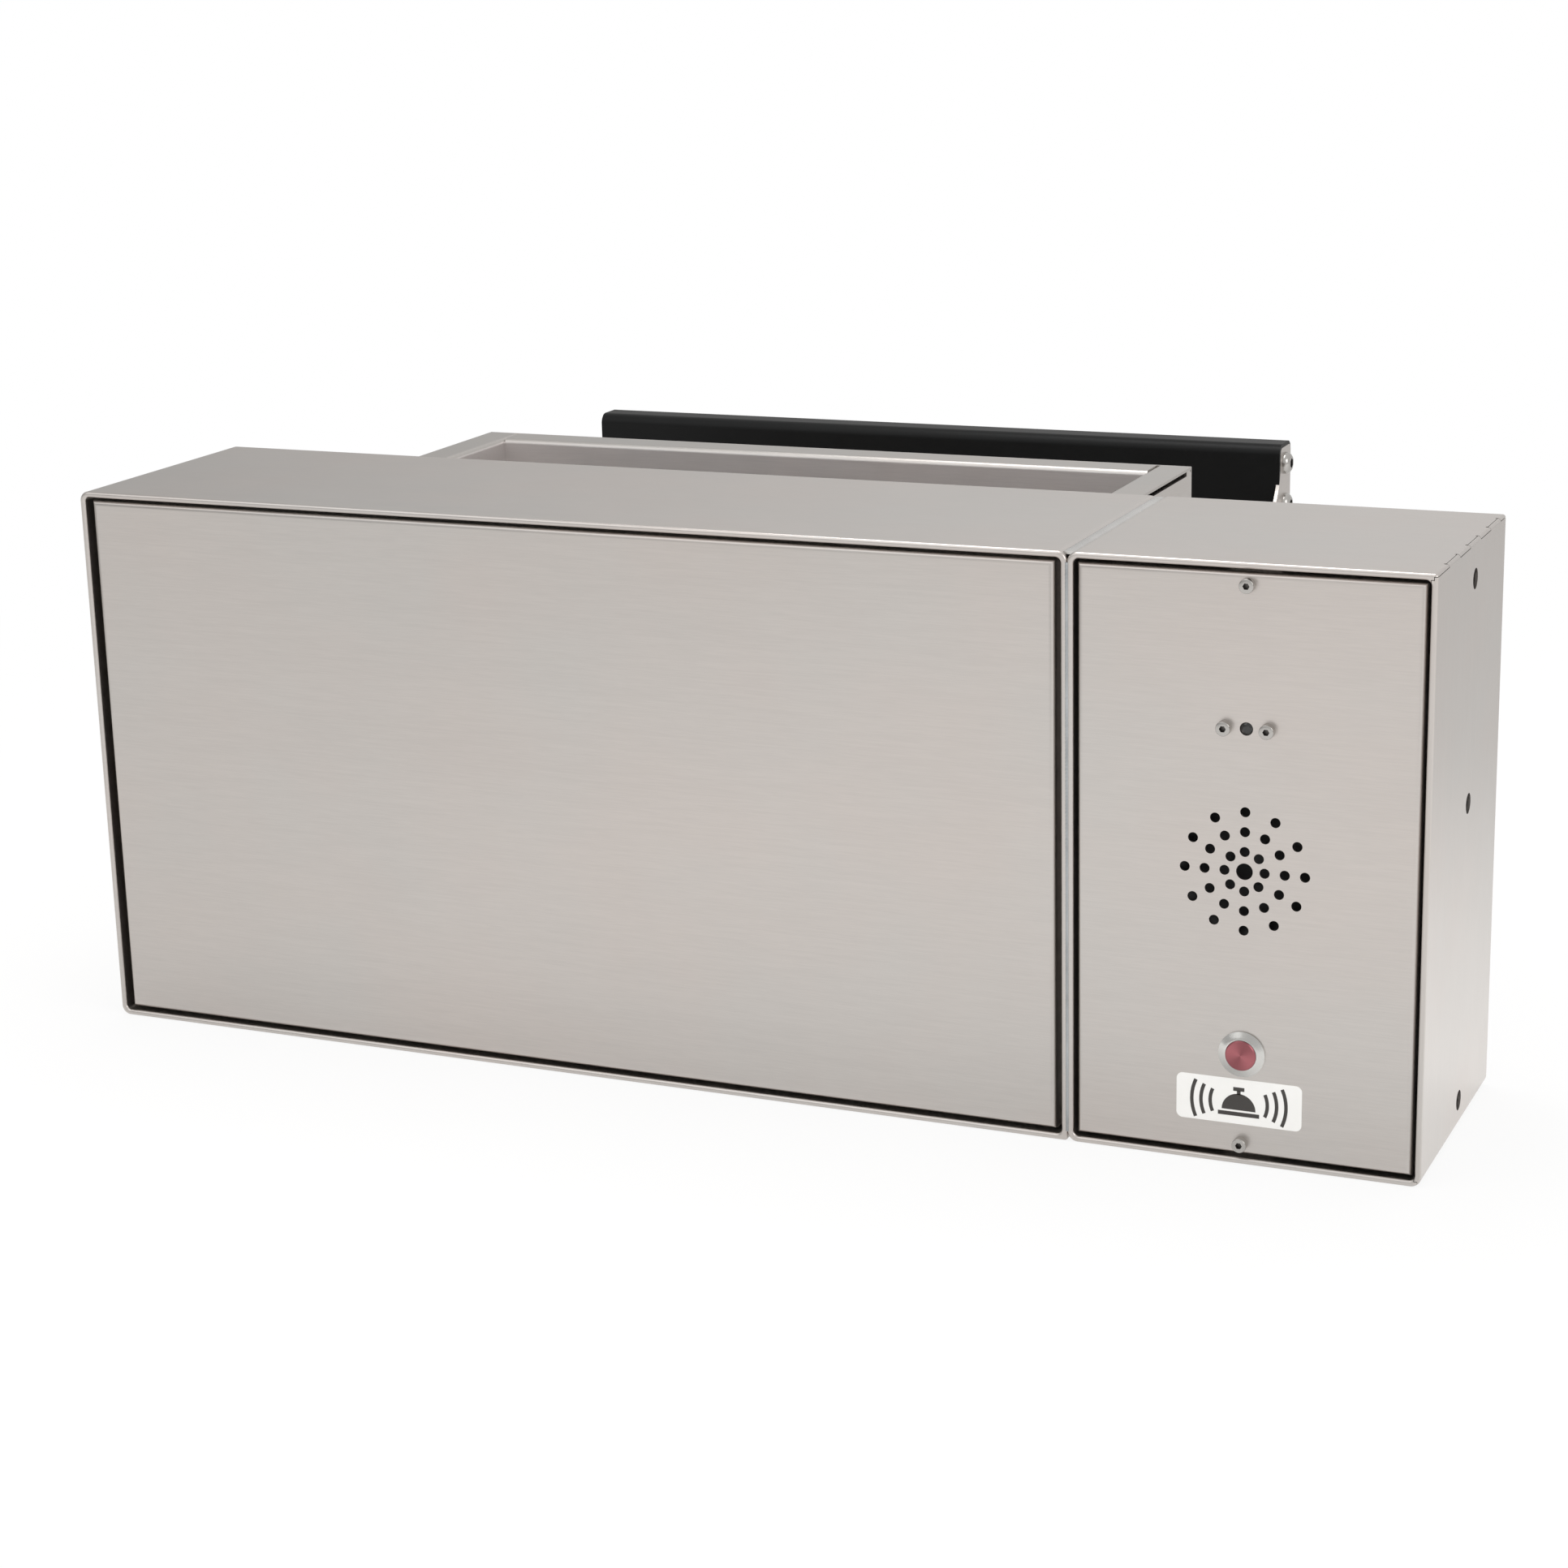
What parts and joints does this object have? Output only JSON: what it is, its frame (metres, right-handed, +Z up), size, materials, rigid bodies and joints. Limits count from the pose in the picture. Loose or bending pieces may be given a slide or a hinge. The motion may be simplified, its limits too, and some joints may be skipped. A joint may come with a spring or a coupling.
{
  "type": "deposit drawer",
  "caption": "Sliding steel deposit drawer with rear handle bar, roller slides and turn latch in a through-wall hood, beside an intercom box with speaker grille and call button.",
  "frame": {"origin": "middle of the hood's flat underside, where it rests on the sill of the opening", "axes": "+Z up, +X to the customer's right along the front, -Y out towards the customer, +Y towards the teller"},
  "size_m": [0.717, 0.5527, 0.29],
  "materials": {
    "brushed_stainless": "number 4 brushed stainless sheet",
    "weld_metal": "dressed weld",
    "zinc_steel": "zinc plated",
    "fastener_steel": "bright stainless",
    "bright_chrome": "polished",
    "black_rubber": "matt",
    "black_plastic": "fine texture",
    "black_anodised": "black anodised, satin",
    "red_anodised": "red anodised, turned face",
    "white_label": "white film",
    "nylon": "natural nylon",
    "ferrite": "ferrite and steel",
    "circuit_board": "green board",
    "lens_glass": "dark glass"
  },
  "bodies": {
    "hood": {"board_standoffs": "zinc_steel", "box_lugs": "brushed_stainless", "bracket_screws": "fastener_steel", "button_body": "bright_chrome", "button_nut": "bright_chrome", "button_spring": "fastener_steel", "cable_grommet": "black_rubber", "call_label": "white_label", "camera_body": "black_plastic", "camera_lens": "lens_glass", "camera_screws": "fastener_steel", "hood_shell": "brushed_stainless", "intercom_board": "circuit_board", "intercom_panel": "brushed_stainless", "intercom_shell": "brushed_stainless", "intercom_side": "brushed_stainless", "latch_bush": "bright_chrome", "latch_plate": "brushed_stainless", "panel_screws": "fastener_steel", "rear_cover": "brushed_stainless", "rear_cover_screws": "fastener_steel", "roller_axles": "fastener_steel", "roller_bracket_left": "zinc_steel", "roller_bracket_right": "zinc_steel", "seam_welds": "weld_metal", "speaker_cone": "black_plastic", "speaker_fixings": "fastener_steel", "speaker_frame": "zinc_steel", "speaker_gasket": "black_rubber", "speaker_magnet": "ferrite", "stop_frame": "brushed_stainless", "switch_block": "black_plastic", "travel_bumpers": "black_rubber", "weather_seal": "black_rubber"},
    "drawer": {"drawer_panel": "brushed_stainless", "panel_stiffener": "brushed_stainless", "tray_side_left": "brushed_stainless", "tray_side_right": "brushed_stainless", "tray_rear": "brushed_stainless", "tray_front": "brushed_stainless", "tray_floor": "brushed_stainless", "tray_skin_left": "brushed_stainless", "tray_skin_right": "brushed_stainless", "tray_skin_rear": "brushed_stainless", "arm_left": "brushed_stainless", "arm_right": "brushed_stainless", "arm_spacers": "zinc_steel", "arm_screws": "fastener_steel", "handle_bar": "black_anodised", "handle_screws": "fastener_steel", "rail_left": "zinc_steel", "rail_right": "zinc_steel", "latch_strike": "brushed_stainless"},
    "turn_latch": {"latch_cam": "fastener_steel", "latch_knob": "bright_chrome"},
    "push_button": {"button_cap": "red_anodised"},
    "roller_left_front": {"roller_left_front": "nylon"},
    "roller_left_rear": {"roller_left_rear": "nylon"},
    "roller_right_front": {"roller_right_front": "nylon"},
    "roller_right_rear": {"roller_right_rear": "nylon"}
  },
  "joints": [
    {"name": "drawer_slide", "type": "slide", "parent": "hood", "child": "drawer", "axis": [0, -1, 0], "range_m": [0, 0.3]},
    {"name": "button_press", "type": "slide", "parent": "hood", "child": "push_button", "axis": [0, 1, 0], "range_m": [0, 0.0025], "stiffness_N_per_m": 600, "deforming": ["button_spring"]},
    {"name": "latch_turn", "type": "hinge", "parent": "hood", "child": "turn_latch", "pos_m": [0.172, 0.0658, 0.22], "axis": [0, -1, 0], "range_deg": [0, 90]},
    {"name": "roller_left_front_turn", "type": "hinge", "parent": "hood", "child": "roller_left_front", "pos_m": [-0.3259, -0.034, 0.11], "axis": [1, 0, 0], "range_deg": [0, 1440]},
    {"name": "roller_left_rear_turn", "type": "hinge", "parent": "hood", "child": "roller_left_rear", "pos_m": [-0.3259, 0.044, 0.11], "axis": [1, 0, 0], "range_deg": [0, 1440]},
    {"name": "roller_right_front_turn", "type": "hinge", "parent": "hood", "child": "roller_right_front", "pos_m": [0.1539, -0.034, 0.11], "axis": [1, 0, 0], "range_deg": [0, 1440]},
    {"name": "roller_right_rear_turn", "type": "hinge", "parent": "hood", "child": "roller_right_rear", "pos_m": [0.1539, 0.044, 0.11], "axis": [1, 0, 0], "range_deg": [0, 1440]}
  ],
  "couplings": [
    {"joint": "roller_left_front_turn", "follows": "drawer_slide", "rad_per_m": 83.333},
    {"joint": "roller_left_rear_turn", "follows": "drawer_slide", "rad_per_m": 83.333},
    {"joint": "roller_right_front_turn", "follows": "drawer_slide", "rad_per_m": 83.333},
    {"joint": "roller_right_rear_turn", "follows": "drawer_slide", "rad_per_m": 83.333}
  ]
}
